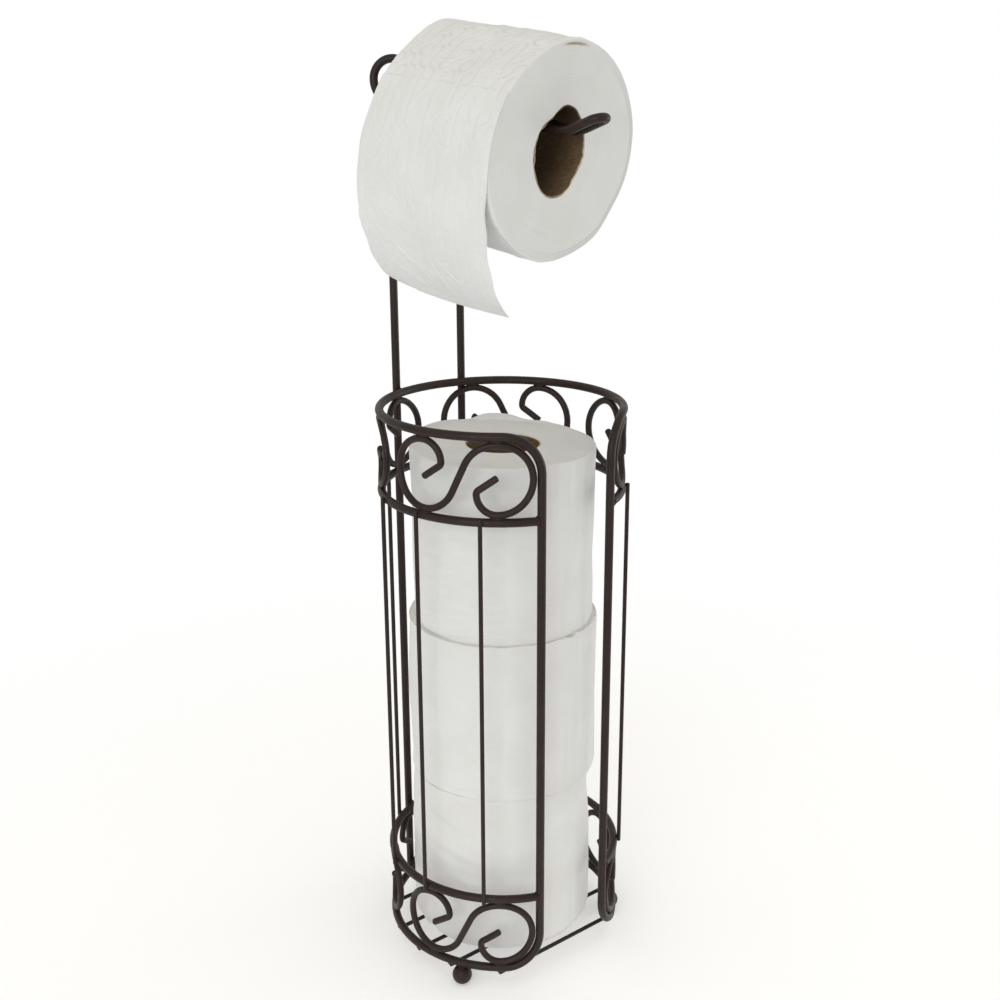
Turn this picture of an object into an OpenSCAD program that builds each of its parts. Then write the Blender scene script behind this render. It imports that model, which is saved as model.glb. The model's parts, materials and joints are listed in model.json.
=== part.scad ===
// Free-standing toilet paper holder: a wire basket for spare rolls and a looped arm for the roll in use.
// Millimetres, +Z up. The origin is on the floor, on the axis of the round basket.
// The open front of the basket faces -Y. Angles round the basket start at the front and grow towards +X.

/* [Wire] */
// Diameter of the heavy wire: the frame and the two band rings
frame_wire_d = 5; // [4:0.1:6]
// Diameter of the wire of the arm and its two tall legs
arm_wire_d = 4.8; // [4:0.1:5]
// Diameter of the wire of the scrolls
scroll_wire_d = 4; // [3:0.1:4.4]
// Diameter of the thin upright rods and of the wires across the base
rod_d = 2.5; // [2:0.1:3.5]
// How far a welded wire bites into its neighbour
weld_bite = 0.3; // [0.1:0.05:0.5]

/* [Basket] */
// Radius of the basket, to the middle of its wire
basket_r = 71; // [70:0.5:80]
// Height of the basket's top rim, to the middle of its wire
rim_z = 347; // [340:1:356]
// Height of each scroll band, from wire middle to wire middle
band_h = 48; // [44:0.5:49.5]
// Half of the open front, as an angle round the basket
post_angle = 21; // [18:0.5:23]
// Bend radius of the frame's four corners
corner_r = 22; // [12:1:26]
// Distance between the wires across the base
base_pitch = 25; // [20:0.5:27]
// How far the wires across the base stick out past the bottom ring
base_overhang = 1; // [0:0.5:4]
// How far the thin rods pass the middle of a band ring
rod_overhang = 2; // [1:0.5:4]

/* [Feet] */
// Diameter of the ball feet
ball_d = 12; // [10:0.5:14]
// Height of the small worn flat under each ball
ball_flat = 0.25; // [0.1:0.05:0.5]

/* [Scrolls] */
// Angle of the scrolls beside the open front
front_scroll_angle = 58.2; // [58:0.1:62]
// Angle of the scrolls at the back
rear_scroll_angle = 138.7; // [134:0.1:141]
// Half of a scroll's width, along the band
scroll_half_w = 41.3; // [40:0.1:41.4]
// Radius of a scroll's inner hook
hook_r = 11.5; // [10:0.5:14]
// Bend radius where the hook turns into the straight tip
hook_bend_r = 3; // [2.5:0.5:5]
// Turn of that bend
hook_bend_angle = 55; // [40:1:65]
// Length of the straight tip
tip_l = 12.5; // [8:0.5:14]

/* [Arm] */
// Half of the distance between the two tall legs
leg_half_gap = 24.8; // [20:0.1:28]
// Height of the top of the crook, to the middle of the wire
crook_top_z = 540; // [535:1:545]
// Radius of the crook
crook_r = 11.2; // [9:0.1:12]
// How far the crook swings out behind its leg
crook_bulge = 8.1; // [6:0.1:10]
// Turn of the crook's plane, inwards from straight ahead
crook_turn = 40; // [36:1:44]
// Height of the dip that keeps the roll on the arm
dip_z = 501.5; // [500:0.5:503]
// Reach of the arm's tip, in front of the basket's axis
arm_reach = 81.8; // [76:0.1:84]
// Half of the gap between the two wires at the arm's tip
tip_half_gap = 4.8; // [4:0.1:6]

/* [Rolls] */
// Width of the roll on the arm, and of the spare rolls on average
roll_w = 102; // [95:0.5:102]
// Outer diameter of the spare rolls
spare_roll_d = 110; // [100:1:114]
// Outer diameter of the roll on the arm
arm_roll_d = 115; // [100:1:116]
// Outer diameter of the cardboard cores
core_d = 46.8; // [46.8:0.1:48]
// Wall of the cardboard cores
core_wall = 1; // [0.8:0.1:1.2]
// Rounding of the rolls' edges
roll_edge_r = 3; // [1:0.5:6]
// Gap between stacked rolls
roll_gap = 0.5; // [0.3:0.1:1]
// Downward pitch of the roll on the arm
arm_roll_pitch = 7.5; // [6:0.5:8]
// Sideways turn of the roll on the arm
arm_roll_yaw = 5.5; // [4:0.5:6]

/* [Hanging sheet] */
// Thickness of the solid that stands for the hanging sheet
sheet_t = 1.2; // [1:0.1:2]
// Drop of the hanging sheet below the roll's axis
sheet_drop = 86.5; // [80:0.5:87]
// Sideways place of the sheet's free edge, from the roll's axis
sheet_edge_x = 24.5; // [20:0.5:34]

/* [Hidden] */
BANDS = ["upper", "lower"];
FEET = ["left", "right", "rear"];
SPARES = ["bottom", "middle", "top"];
SCROLL_COUNT = 4;
ROD_COUNT = 8;
BASE_COUNT = 5;

METAL = [0.24, 0.20, 0.19];
PAPER = [0.93, 0.93, 0.91];
CARD = [0.50, 0.40, 0.28];
ROUND = 64;

// Heights of the rings, from the ball feet up
ball_r = ball_d / 2;
ball_z = ball_r - ball_flat;
bottom_z = ball_z + ball_r + frame_wire_d / 2 - weld_bite;
lower_ring_z = bottom_z + band_h;
upper_ring_z = rim_z - band_h;
foot_angles = [-60, 60, 180];

// Wires across the base, under the bottom ring
base_z = bottom_z - frame_wire_d / 2 - rod_d / 2 + weld_bite;
base_middle_y = -4;
base_top_z = base_z + rod_d / 2;

// Thin upright rods and tall legs, welded to the outside of the rings
rod_r = basket_r + frame_wire_d / 2 + rod_d / 2 - weld_bite;
rod_angles = [-150, -105, -78.5, -48, 48, 78.5, 105, 150];
leg_r = basket_r + frame_wire_d / 2 + arm_wire_d / 2 - weld_bite;
leg_y = sqrt(pow(leg_r, 2) - pow(leg_half_gap, 2));
leg_foot_z = bottom_z - frame_wire_d / 2;

// The band rings butt against the sides of the front posts
ring_end_bite = 0.8;
ring_end_angle = post_angle + arc_angle(frame_wire_d / 2 - ring_end_bite);

// A scroll is a round curl on each side of a slanted straight. The curls touch the rings of the band.
scroll_angles = [-rear_scroll_angle, -front_scroll_angle, front_scroll_angle, rear_scroll_angle];
curl_r = (band_h - frame_wire_d - scroll_wire_d) / 2 + weld_bite / 2;
curl_x = scroll_half_w - curl_r;
slant = asin(curl_r / curl_x);

// Steps of the swept wires
corner_steps = 8;
rim_steps = 27;
curl_steps = 15;
hook_steps = 5;
bend_steps = 3;
arm_step_angle = 15;

// Arm: jog below the crook, entry into the roll, and the place of the dip
jog_r = 14;
jog_angle = acos(1 - crook_bulge / (2 * jog_r));
jog_tangent = jog_r * tan(jog_angle / 2);
crook_z = crook_top_z - crook_r;
jog_low_z = crook_z - 2 * jog_r * sin(jog_angle) + jog_tangent;
jog_high_z = crook_z - jog_tangent;
drop_bend_r = 8;
arm_line_r = 40;
arm_entry = [10.5, 45, 512.5];
arm_middle = [8.5, 2, 513];
dip_y = -57;
dip_r = 30;
tip_rise = 0.325;

// The roll on the arm: its middle, and the polygon of the hanging sheet seen along its axis
arm_roll_middle = [0, 2, 498];
sheet_steps = 20;
sheet_start_r = arm_roll_d / 2 + sheet_t / 2 - weld_bite;
sheet_side_gap = 0.3;
sheet_curve = [
    [-sheet_start_r, 0],
    [-sheet_start_r + 3.5, -0.42 * sheet_drop],
    [-sheet_start_r + 13.5, -0.81 * sheet_drop],
    [-sheet_edge_x, -sheet_drop]
];

// The spare rolls are not quite alike: shift of each one, and what it adds to the nominal diameter and width
spare_shift = [[-1, 0.8], [0, 0], [0.6, -0.5]];
spare_extra_d = [2, 5, -1];
spare_extra_w = [5, -4, 2];
spare_rest_gap = 0.3;
core_play = 0.05;

// ---- Geometry helpers ----

function unit(v) = v / norm(v);
function arc_angle(length) = length / basket_r * 180 / PI;

// A point on the basket's cylinder, from the distance along the wall and the height
function on_wall(p) = [
    basket_r * sin(arc_angle(p.x)),
    -basket_r * cos(arc_angle(p.x)),
    p.y
];
function wall_normal(p) = unit([p.x, p.y, 0]);

// Points of a flat arc
function arc(centre, r, from, to, steps) = [
    for (i = [0:steps])
        let (a = from + (to - from) * i / steps)
        centre + r * [cos(a), sin(a)]
];

function reversed(list) = [for (i = [len(list) - 1:-1:0]) list[i]];

// One corner of a bent wire, rounded to bend radius r
function bend(before, corner, after, r) =
    let (
        back = unit(before - corner),
        on = unit(after - corner),
        half = acos(back * on) / 2,
        turn = 180 - 2 * half,
        steps = max(1, ceil(turn / arm_step_angle)),
        start = corner + back * r / tan(half),
        centre = corner + unit(back + on) * r / sin(half),
        e1 = unit(start - centre)
    )
    [for (i = [0:steps]) centre + r * (cos(turn * i / steps) * e1 - sin(turn * i / steps) * back)];

// A wire through corners given as [point, bend radius]
function bent_wire(c) = concat(
    [c[0][0]],
    [for (i = [1:len(c) - 2]) each bend(c[i - 1][0], c[i][0], c[i + 1][0], c[i][1])],
    [c[len(c) - 1][0]]
);

function tangent(p, i, closed) =
    let (
        n = len(p),
        a = closed ? p[(i + n - 1) % n] : p[max(i - 1, 0)],
        b = closed ? p[(i + 1) % n] : p[min(i + 1, n - 1)]
    )
    unit(b - a);

function flattened(normal, along) = unit(normal - (normal * along) * along);

// Normals carried along an open wire without twisting
function carried_normals(p, first) = [
    for (
        i = 0, n = flattened(first, tangent(p, 0, false));
        i < len(p);
        i = i + 1, n = i < len(p) ? flattened(n, tangent(p, i, false)) : n
    ) n
];

// Round wire of diameter d along the points p
module swept_wire(p, normals, d, sides, closed = false) {
    n = len(p);
    rings = closed ? n : n - 1;
    points = [
        for (i = [0:n - 1])
            let (t = tangent(p, i, closed), u = flattened(normals[i], t), w = cross(t, u))
            for (k = [0:sides - 1])
                let (a = 360 * k / sides)
                p[i] + d / 2 * (cos(a) * u + sin(a) * w)
    ];
    walls = [
        for (i = [0:rings - 1], k = [0:sides - 1])
            let (
                j = (k + 1) % sides,
                here = i * sides,
                next = ((i + 1) % n) * sides
            )
            each [[here + k, next + k, next + j], [here + k, next + j, here + j]]
    ];
    caps = closed ? [] : [
        [for (k = [0:sides - 1]) k],
        [for (k = [sides - 1:-1:0]) (n - 1) * sides + k]
    ];
    polyhedron(points = points, faces = concat(walls, caps), convexity = 10);
}

// ---- Basket ----

// One quarter of the frame's loop: from the back of a ring round to the front post
function frame_quarter(z, inwards) =
    let (
        post_x = basket_r * post_angle * PI / 180,
        bend_x = post_x + corner_r,
        back_x = basket_r * PI
    )
    concat(
        [for (i = [0:rim_steps - 1]) [back_x + (bend_x - back_x) * i / rim_steps, z]],
        arc([bend_x, z + inwards * corner_r], corner_r, -90 * inwards, -180 * inwards, corner_steps)
    );

module basket_frame_wire() {
    right = concat(frame_quarter(rim_z, -1), reversed(frame_quarter(bottom_z, 1)));
    left = [for (i = [len(right) - 2:-1:1]) [-right[i].x, right[i].y]];
    loop = [for (p = concat(right, left)) on_wall(p)];
    normals = [for (p = loop) wall_normal(p)];
    color(METAL) swept_wire(loop, normals, frame_wire_d, 10, true);
}

module band_ring(z) {
    color(METAL)
        translate([0, 0, z])
            rotate([0, 0, ring_end_angle - 90])
                rotate_extrude(angle = 360 - 2 * ring_end_angle, $fn = ROUND)
                    translate([basket_r, 0])
                        circle(d = frame_wire_d, $fn = ROUND);
}

// Right half of a scroll, laid flat, from its middle to its tip
function half_scroll() =
    let (
        curl = arc([curl_x, 0], curl_r, 90 + slant, -90, curl_steps),
        hook_middle = [curl_x, hook_r - curl_r],
        hook = arc(hook_middle, hook_r, -90, -180, hook_steps),
        bend_middle = hook_middle + [hook_bend_r - hook_r, 0],
        tip_bend = arc(bend_middle, hook_bend_r, -180, -180 - hook_bend_angle, bend_steps),
        tip_way = [sin(hook_bend_angle), cos(hook_bend_angle)],
        bend_end = tip_bend[bend_steps]
    )
    concat(
        curl,
        [for (i = [1:hook_steps]) hook[i]],
        [for (i = [1:bend_steps]) tip_bend[i]],
        [for (s = [0.5, 1]) bend_end + s * tip_l * tip_way]
    );

module scroll(angle, z) {
    half = half_scroll();
    flat = concat(reversed(-half), [[0, 0]], half);
    line = [for (p = flat) on_wall([p.x, p.y + z])];
    normals = [for (p = line) wall_normal(p)];
    color(METAL) rotate([0, 0, angle]) swept_wire(line, normals, scroll_wire_d, 8);
}

module upright_rod(angle) {
    color(METAL)
        rotate([0, 0, angle])
            translate([0, -rod_r, lower_ring_z - rod_overhang])
                cylinder(d = rod_d, h = upper_ring_z - lower_ring_z + 2 * rod_overhang, $fn = ROUND);
}

module base_wire(i) {
    y = base_middle_y + base_pitch * (i - (BASE_COUNT + 1) / 2);
    half_l = sqrt(pow(basket_r, 2) - pow(y, 2)) + base_overhang;
    color(METAL)
        translate([-half_l, y, base_z])
            rotate([0, 90, 0])
                cylinder(d = rod_d, h = 2 * half_l, $fn = ROUND);
}

module ball_foot(angle) {
    color(METAL)
        rotate([0, 0, angle])
            translate([0, -basket_r, 0])
                intersection() {
                    translate([0, 0, ball_z]) sphere(d = ball_d, $fn = ROUND);
                    translate([-ball_d, -ball_d, 0]) cube(2 * ball_d);
                }
}

// ---- Arm ----

// A point in the plane of the left crook, from the distance ahead of the leg and the height
function crook_point(ahead, z) = [
    -leg_half_gap + ahead * sin(crook_turn),
    leg_y - ahead * cos(crook_turn),
    z
];

function left_on_arm(p) = [-p.x, p.y, p.z];

// Corners of the left half of the arm, from the foot of its leg to the tip, each with its bend radius
function arm_corners() =
    let (
        crook_front = 2 * crook_r - crook_bulge,
        tip_z = dip_z + tip_rise * (arm_reach + dip_y),
        tip_r = tip_half_gap - 0.1
    )
    [
        [crook_point(0, leg_foot_z), 0],
        [crook_point(0, jog_low_z), jog_r],
        [crook_point(-crook_bulge, jog_high_z), jog_r],
        [crook_point(-crook_bulge, crook_top_z), crook_r - 0.05],
        [crook_point(crook_front, crook_top_z), crook_r - 0.05],
        [crook_point(crook_front, arm_entry.z), drop_bend_r],
        [left_on_arm(arm_entry), arm_line_r],
        [left_on_arm(arm_middle), arm_line_r],
        [[-tip_half_gap, dip_y, dip_z], dip_r],
        [[-tip_half_gap, -arm_reach, tip_z], tip_r]
    ];

module arm_wire() {
    left = arm_corners();
    right = [for (c = reversed(left)) [left_on_arm(c[0]), c[1]]];
    line = bent_wire(concat(left, right));
    color(METAL) swept_wire(line, carried_normals(line, [1, 0, 0]), arm_wire_d, 10);
}

// ---- Rolls ----

// Wound paper, standing on its end
module roll_paper(d, w) {
    wall = (d - core_d) / 2;
    color(PAPER)
        rotate_extrude($fn = ROUND)
            translate([core_d / 2, 0]) {
                translate([0, roll_edge_r]) square([wall, w - 2 * roll_edge_r]);
                square([wall - roll_edge_r, w]);
                for (y = [roll_edge_r, w - roll_edge_r])
                    translate([wall - roll_edge_r, y]) circle(r = roll_edge_r, $fn = ROUND);
            }
}

// Cardboard core, standing on its end
module roll_core(w) {
    outer_r = core_d / 2 - core_play;
    color(CARD)
        rotate_extrude($fn = ROUND)
            translate([outer_r - core_wall, 0])
                square([core_wall, w]);
}

function spare_w(i) = roll_w + spare_extra_w[i];
function spare_z(i) = i == 0 ? base_top_z + spare_rest_gap : spare_z(i - 1) + spare_w(i - 1) + roll_gap;

module spare_place(i) {
    translate([spare_shift[i].x, spare_shift[i].y, spare_z(i)])
        children();
}

// Turns a roll that stands on its end so that it lies on the arm, its end towards the front
module arm_place() {
    translate(arm_roll_middle)
        rotate([90 + arm_roll_pitch, 0, arm_roll_yaw])
            translate([0, 0, -roll_w / 2])
                children();
}

function curve_point(c, t) =
    pow(1 - t, 3) * c[0] + 3 * pow(1 - t, 2) * t * c[1] + 3 * (1 - t) * pow(t, 2) * c[2] + pow(t, 3) * c[3];
function curve_way(c, t) = unit(
    pow(1 - t, 2) * (c[1] - c[0]) + 2 * (1 - t) * t * (c[2] - c[1]) + pow(t, 2) * (c[3] - c[2])
);
function curve_side(c, t, offset) =
    let (way = curve_way(c, t))
    curve_point(c, t) + offset * [way.y, -way.x];

// The free end of the paper: it leaves the roll on the left and curls in below it
module hanging_sheet() {
    outer = [for (i = [0:sheet_steps]) curve_side(sheet_curve, i / sheet_steps, sheet_t / 2)];
    inner = [for (i = [0:sheet_steps]) curve_side(sheet_curve, i / sheet_steps, -sheet_t / 2)];
    color(PAPER)
        arm_place()
            translate([0, 0, sheet_side_gap])
                linear_extrude(roll_w - 2 * sheet_side_gap)
                    polygon(concat(outer, reversed(inner)));
}

// ---- Nodes ----

basket_frame_wire();
arm_wire();
for (b = [0:1])
    band_ring([upper_ring_z, lower_ring_z][b]);
for (b = [0:1], i = [1:SCROLL_COUNT])
    scroll(scroll_angles[i - 1], [rim_z, lower_ring_z][b] - band_h / 2);
for (i = [1:ROD_COUNT])
    upright_rod(rod_angles[i - 1]);
for (i = [1:BASE_COUNT])
    base_wire(i);
for (i = [0:2])
    ball_foot(foot_angles[i]);
arm_place() roll_paper(arm_roll_d, roll_w);  // arm_roll_paper
arm_place() roll_core(roll_w);  // arm_roll_core
hanging_sheet();
for (i = [0:2])
    spare_place(i) roll_paper(spare_roll_d + spare_extra_d[i], spare_w(i));
for (i = [0:2])
    spare_place(i) roll_core(spare_w(i));
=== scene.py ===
"""Wire toilet paper holder: a round scroll basket with three spare rolls, and a looped arm with a fourth.

Metres, +Z up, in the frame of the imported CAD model: the origin is on the floor, on the axis of the basket.
The open front of the basket faces -Y. Angles round the basket start at the front and grow towards +X.
"""
import json
import math

import bpy
import numpy as np
from mathutils import Matrix, Vector


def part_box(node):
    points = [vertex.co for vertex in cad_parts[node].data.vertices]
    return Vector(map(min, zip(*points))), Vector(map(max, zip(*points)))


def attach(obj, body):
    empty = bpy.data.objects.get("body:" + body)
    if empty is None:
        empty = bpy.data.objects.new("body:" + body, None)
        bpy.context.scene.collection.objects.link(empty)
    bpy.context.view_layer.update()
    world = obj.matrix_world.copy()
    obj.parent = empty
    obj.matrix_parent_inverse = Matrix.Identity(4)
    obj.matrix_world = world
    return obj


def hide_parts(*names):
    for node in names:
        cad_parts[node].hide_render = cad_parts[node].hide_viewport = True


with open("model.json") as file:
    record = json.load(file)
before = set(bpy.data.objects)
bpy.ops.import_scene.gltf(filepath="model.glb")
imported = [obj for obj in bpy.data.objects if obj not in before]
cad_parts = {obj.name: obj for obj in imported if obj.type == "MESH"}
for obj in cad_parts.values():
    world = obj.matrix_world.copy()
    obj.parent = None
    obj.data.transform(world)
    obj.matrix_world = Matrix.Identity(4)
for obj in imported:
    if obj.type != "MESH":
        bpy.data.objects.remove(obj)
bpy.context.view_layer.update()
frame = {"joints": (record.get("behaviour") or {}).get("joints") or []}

MM = 0.001


# ---- Sizes ----


def node_size(node):
    lowest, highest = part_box(node)
    return highest - lowest


def node_middle(node):
    lowest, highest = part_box(node)
    return (lowest + highest) / 2


# Basket, from its rings
FRAME_WIRE_R = node_size("upper_band_ring").z / 2
BASKET_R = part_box("upper_band_ring")[1].x - FRAME_WIRE_R
BAND_H = 48 * MM
UPPER_RING_Z = node_middle("upper_band_ring").z
LOWER_RING_Z = node_middle("lower_band_ring").z
RIM_Z = UPPER_RING_Z + BAND_H
BOTTOM_Z = LOWER_RING_Z - BAND_H
POST_ANGLE = math.radians(21)
CORNER_R = 22 * MM
RING_END_BITE = 0.8 * MM
RING_END_ANGLE = POST_ANGLE + (FRAME_WIRE_R - RING_END_BITE) / BASKET_R
WELD_BITE = 0.3 * MM
RODS = 8
BASE_WIRES = 5
FEET = ("left", "right", "rear")

# Each band of scrolls: its name, the height of its ring and the height of its middle
BANDS = (
    ("upper", UPPER_RING_Z, UPPER_RING_Z + BAND_H / 2),
    ("lower", LOWER_RING_Z, LOWER_RING_Z - BAND_H / 2),
)

# Scrolls
SCROLL_WIRE_R = 2 * MM
SCROLL_ANGLES = [math.radians(a) for a in (-138.7, -58.2, 58.2, 138.7)]
SCROLL_HALF_W = 41.3 * MM
CURL_R = (BAND_H - 2 * FRAME_WIRE_R - 2 * SCROLL_WIRE_R) / 2 + WELD_BITE / 2
CURL_X = SCROLL_HALF_W - CURL_R
SLANT = math.asin(CURL_R / CURL_X)
HOOK_R = 11.5 * MM
HOOK_BEND_R = 3 * MM
HOOK_BEND_ANGLE = math.radians(55)
TIP_L = 12.5 * MM

# Arm: its legs, crooks and hairpin
ARM_WIRE_R = 2.4 * MM
LEG_HALF_GAP = 24.8 * MM
LEG_R = BASKET_R + FRAME_WIRE_R + ARM_WIRE_R - WELD_BITE
LEG_Y = math.sqrt(LEG_R**2 - LEG_HALF_GAP**2)
CROOK_TOP_Z = 540 * MM
CROOK_R = 11.2 * MM
CROOK_BULGE = 8.1 * MM
CROOK_TURN = math.radians(40)
JOG_R = 14 * MM
DROP_BEND_R = 8 * MM
ARM_LINE_R = 40 * MM
ARM_ENTRY = Vector((10.5, 45, 512.5)) * MM
ARM_MIDDLE = Vector((8.5, 2, 513)) * MM
DIP_Y = -57 * MM
DIP_Z = 501.5 * MM
DIP_R = 30 * MM
ARM_REACH = 81.8 * MM
TIP_RISE = 0.325
TIP_HALF_GAP = 4.8 * MM
# What is left straight in the middle of the crooks' and the tip's U-bends, on each side
CROOK_SLACK = 0.05 * MM
TIP_SLACK = 0.1 * MM

# Weld beads: half their length, width and height
SCROLL_BEAD = (4.6 * MM, 1.75 * MM, 1.0 * MM)
ROD_BEAD = (1.9 * MM, 1.7 * MM, 0.75 * MM)
LEG_BEAD = (2.6 * MM, 2.6 * MM, 1.0 * MM)
BASE_BEAD = (2.2 * MM, 1.8 * MM, 0.75 * MM)
FOOT_BEAD = (3.0 * MM, 2.4 * MM, 0.9 * MM)
RING_BEAD = (2.9 * MM, 2.9 * MM, 1.1 * MM)
BEAD_UNEVENNESS = 0.07
LOWEST_LEG_BEAD_RISE = 1.2 * MM

# Rolls
ROLL_W = 102 * MM
ROLL_R = 57.5 * MM
CORE_R = 23.4 * MM
CORE_WALL = 1.0 * MM
PLY = 0.35 * MM
HOLE_SLACK = 0.1 * MM
TUBE_SLACK = 0.05 * MM
HANG_LENGTH = 96 * MM

# Fineness of the meshes
WIRE_SIDES = 20
RIM_STEPS = 72
CORNER_STEPS = 16
CURL_STEPS = 40
HOOK_STEPS = 14
BEND_STEPS = 8
ARM_STEP_ANGLE = math.radians(5)
BAR_STEPS = (0, 0.02, 0.25, 0.5, 0.75, 0.98, 1)
BALL_ROWS, BALL_COLUMNS = 33, 48
BEAD_ROWS, BEAD_COLUMNS = 9, 14
ROLL_EDGE_STEPS = 5
ROLL_SHARP = 60


# ---- Meshes ----


def unit(v):
    return v / np.linalg.norm(v, axis=-1, keepdims=True)


def grid_faces(rows, columns, start=0, close_rows=False, close_columns=False, flip=False):
    """Quads of a grid of rows x columns points that are numbered row by row."""
    i = np.arange(rows if close_rows else rows - 1)[:, None]
    j = np.arange(columns if close_columns else columns - 1)[None, :]
    next_i, next_j = (i + 1) % rows, (j + 1) % columns
    corners = [i * columns + j, i * columns + next_j, next_i * columns + next_j, next_i * columns + j]
    if flip:
        corners.reverse()
    return (start + np.stack(corners, -1).reshape(-1, 4)).tolist()


def cap_ends(points, faces, columns, first, last, flip=False):
    """Closes a tube of rings with a fan of triangles at each end, round the points first and last."""
    count = len(points)
    for k in range(columns):
        j = (k + 1) % columns
        fans = [[count, j, k], [count + 1, count - columns + k, count - columns + j]]
        faces += [fan[::-1] for fan in fans] if flip else fans
    return np.vstack([points, first, last])


def add_object(name, data):
    obj = bpy.data.objects.new(name, data)
    bpy.context.scene.collection.objects.link(obj)
    return obj


def add_piece(name, points, faces, materials, body, slot, replaced=(), sharp=50, fields=None):
    """A shaded mesh that rides on a body and stands for the CAD nodes in replaced.

    fields holds a grid of numbers for each name that a material reads.
    """
    mesh = bpy.data.meshes.new(name)
    mesh.from_pydata(np.asarray(points).reshape(-1, 3).tolist(), [], faces)
    for material in materials:
        mesh.materials.append(material)
    mesh.shade_smooth()
    mesh.set_sharp_from_angle(angle=math.radians(sharp))
    for field_name, values in (fields or {}).items():
        values = np.ravel(values).astype(np.float32)
        mesh.attributes.new(field_name, "FLOAT", "POINT").data.foreach_set("value", values)
    obj = add_object(name, mesh)
    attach(obj, body)
    if replaced:
        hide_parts(*replaced)
    return obj


def waves(points, wavelength, count, seed):
    """A smooth random field over the last axis of points: the sum of count plane waves."""
    rng = np.random.default_rng(seed)
    value = np.zeros(points.shape[:-1])
    for _ in range(count):
        way = rng.normal(size=points.shape[-1])
        way *= 2 * math.pi / (wavelength * rng.uniform(0.75, 1.3) * np.linalg.norm(way))
        value += np.sin(points @ way + rng.uniform(0, 2 * math.pi))
    return value / math.sqrt(count / 2)


def window(angle, centre, half_width, power=4):
    """1 near the centre, falling smoothly to 0 beyond the half width. The angles are in degrees."""
    away = (angle - centre + 180) % 360 - 180
    return np.exp(-np.abs(away / half_width) ** power)


def smooth_step(x):
    x = np.clip(x, 0, 1)
    return x * x * (3 - 2 * x)


def off_the_ends(share, margin):
    """0 at both ends of the share, 0 and 1, rising to 1 at the margin from them."""
    return np.clip(np.minimum(share, 1 - share) / margin, 0, 1)


def ring_degrees(columns):
    """One row of angles all round a roll."""
    return np.linspace(-180, 180, columns, endpoint=False)[None, :]


# ---- Materials ----

# Most of a noise texture's values lie between these
NOISE_LOW, NOISE_HIGH = 0.3, 0.7
PLY_RINGS_SCALE = 1400


def link(tree, source, target):
    tree.links.new(source, target)


def set_inputs(node, values):
    for name, value in values.items():
        node.inputs[name].default_value = value


def noise(tree, scale, detail=3, stretch=None):
    """The Fac socket of a noise texture over the object's coordinates, in cells per metre."""
    place = tree.nodes.new("ShaderNodeTexCoord")
    texture = tree.nodes.new("ShaderNodeTexNoise")
    set_inputs(texture, {"Scale": scale, "Detail": detail})
    source = place.outputs["Object"]
    if stretch:
        mapping = tree.nodes.new("ShaderNodeMapping")
        set_inputs(mapping, {"Scale": stretch})
        link(tree, source, mapping.inputs["Vector"])
        source = mapping.outputs["Vector"]
    link(tree, source, texture.inputs["Vector"])
    return texture.outputs["Fac"]


def ramp(tree, source, low, high, start=NOISE_LOW, end=NOISE_HIGH):
    """A colour that goes from low to high as source goes from start to end."""
    node = tree.nodes.new("ShaderNodeValToRGB")
    node.color_ramp.elements[0].position = start
    node.color_ramp.elements[1].position = end
    node.color_ramp.elements[0].color = (*low, 1)
    node.color_ramp.elements[1].color = (*high, 1)
    link(tree, source, node.inputs["Fac"])
    return node.outputs["Color"]


def spread(tree, source, low, high):
    """A number from low to high as a noise goes from low to high."""
    node = tree.nodes.new("ShaderNodeMapRange")
    set_inputs(node, {"From Min": NOISE_LOW, "From Max": NOISE_HIGH, "To Min": low, "To Max": high})
    link(tree, source, node.inputs["Value"])
    return node.outputs["Result"]


def field(tree, name):
    """The numbers that a piece's mesh carries under this name."""
    node = tree.nodes.new("ShaderNodeAttribute")
    node.attribute_name = name
    return node.outputs["Fac"]


def multiply(tree, a, b):
    node = tree.nodes.new("ShaderNodeMix")
    node.data_type = "RGBA"
    node.blend_type = "MULTIPLY"
    node.inputs["Factor"].default_value = 1
    link(tree, a, node.inputs["A"])
    link(tree, b, node.inputs["B"])
    return node.outputs["Result"]


def tinted(tree, colour, name, tint):
    """The colour times the tint, as far as the piece's field of this name says."""
    return multiply(tree, colour, ramp(tree, field(tree, name), (1, 1, 1), tint, 0, 1))


def bump(tree, height, depth, strength=1.0, below=None):
    node = tree.nodes.new("ShaderNodeBump")
    set_inputs(node, {"Distance": depth, "Strength": strength})
    link(tree, height, node.inputs["Height"])
    if below:
        link(tree, below, node.inputs["Normal"])
    return node.outputs["Normal"]


def new_material(name):
    material = bpy.data.materials.new(name)
    material.use_nodes = True
    return material, material.node_tree, material.node_tree.nodes["Principled BSDF"]


def fill_shader(tree, shader, colour, roughness, specular, normal):
    link(tree, colour, shader.inputs["Base Color"])
    link(tree, roughness, shader.inputs["Roughness"])
    shader.inputs["Specular IOR Level"].default_value = specular
    link(tree, normal, shader.inputs["Normal"])


def bronze_material():
    """Dark bronze powder coat: orange peel, cloudy colour, and paler specks where it is rubbed."""
    material, tree, shader = new_material("dark_bronze_powder_coat")
    cloudy = ramp(tree, noise(tree, 55), (0.0175, 0.0088, 0.0068), (0.029, 0.0155, 0.0125))
    specks = ramp(tree, noise(tree, 900, 4), (0.85, 0.84, 0.83), (1.25, 1.22, 1.2), 0.42, 0.72)
    roughness = spread(tree, noise(tree, 350), 0.36, 0.52)
    peel = bump(tree, noise(tree, 750, 2), 0.12 * MM, 0.55)
    grain = bump(tree, noise(tree, 2600, 2), 0.04 * MM, 0.5, peel)
    fill_shader(tree, shader, multiply(tree, cloudy, specks), roughness, 0.3, grain)
    return material


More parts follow.
